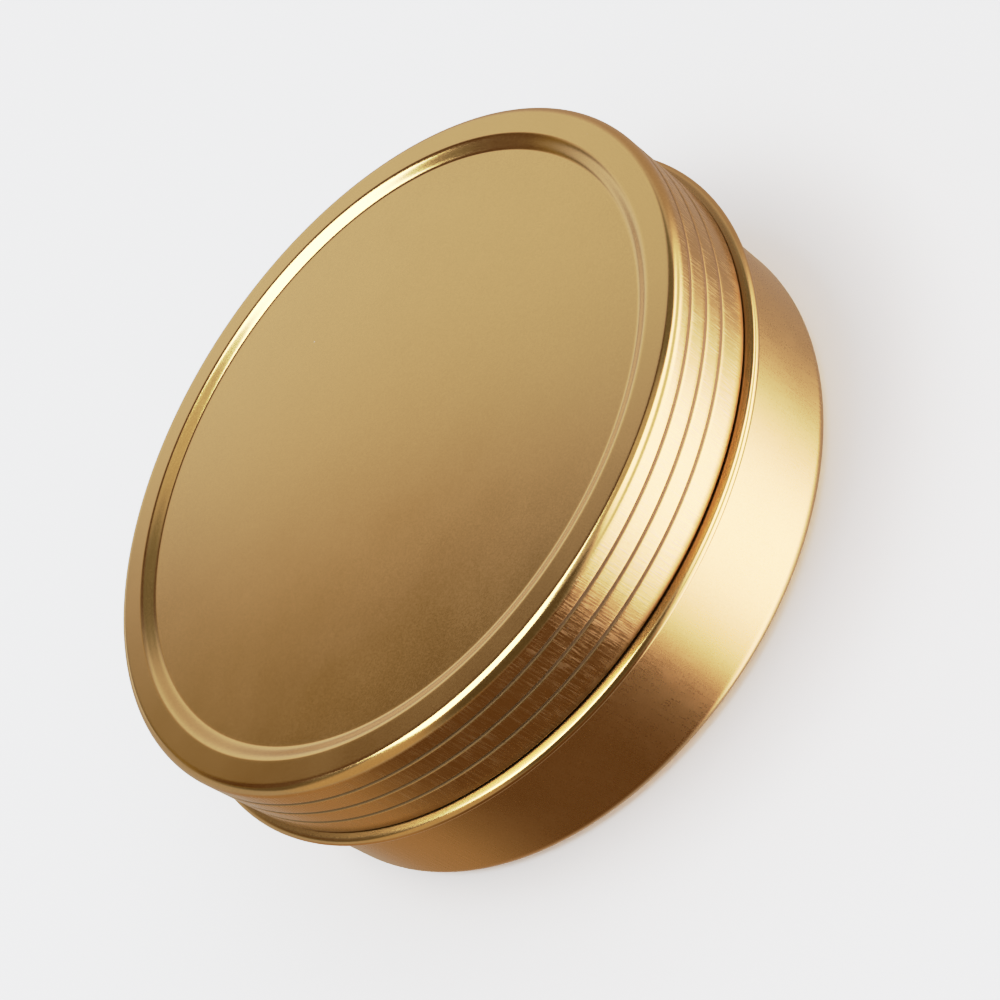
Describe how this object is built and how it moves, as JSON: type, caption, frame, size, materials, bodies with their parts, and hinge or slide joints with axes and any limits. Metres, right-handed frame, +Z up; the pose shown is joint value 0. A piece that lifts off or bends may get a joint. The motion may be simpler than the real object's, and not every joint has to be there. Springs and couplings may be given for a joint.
{
  "type": "candle tin",
  "caption": "Shallow round metal tin with a screw lid and a stop bead under it, for pouring candles or balms into and closing.",
  "frame": {"origin": "centre of the foot ring's plane, on the tin's axis, with the lid screwed home", "axes": "+Z up along the tin's axis, out through the middle of the lid"},
  "size_m": [0.1026, 0.1026, 0.0332],
  "materials": {
    "gold_metal": "satin gold lacquer over drawn sheet",
    "liner_foam": "soft closed-cell foam"
  },
  "bodies": {
    "tin": {"tin_cup": "gold_metal"},
    "liner": {"lid_liner": "liner_foam"},
    "lid": {"screw_lid": "gold_metal"}
  },
  "joints": [
    {"name": "lid_lift", "type": "slide", "parent": "tin", "child": "liner", "axis": [0, 0, 1], "range_m": [0, 0.0136]},
    {"name": "lid_turn", "type": "hinge", "parent": "liner", "child": "lid", "pos_m": [0, 0, 0.0268], "axis": [0, 0, 1], "range_deg": [0, 1620]}
  ],
  "couplings": [
    {"joint": "lid_lift", "follows": "lid_turn", "m_per_rad": 0.00047746}
  ]
}
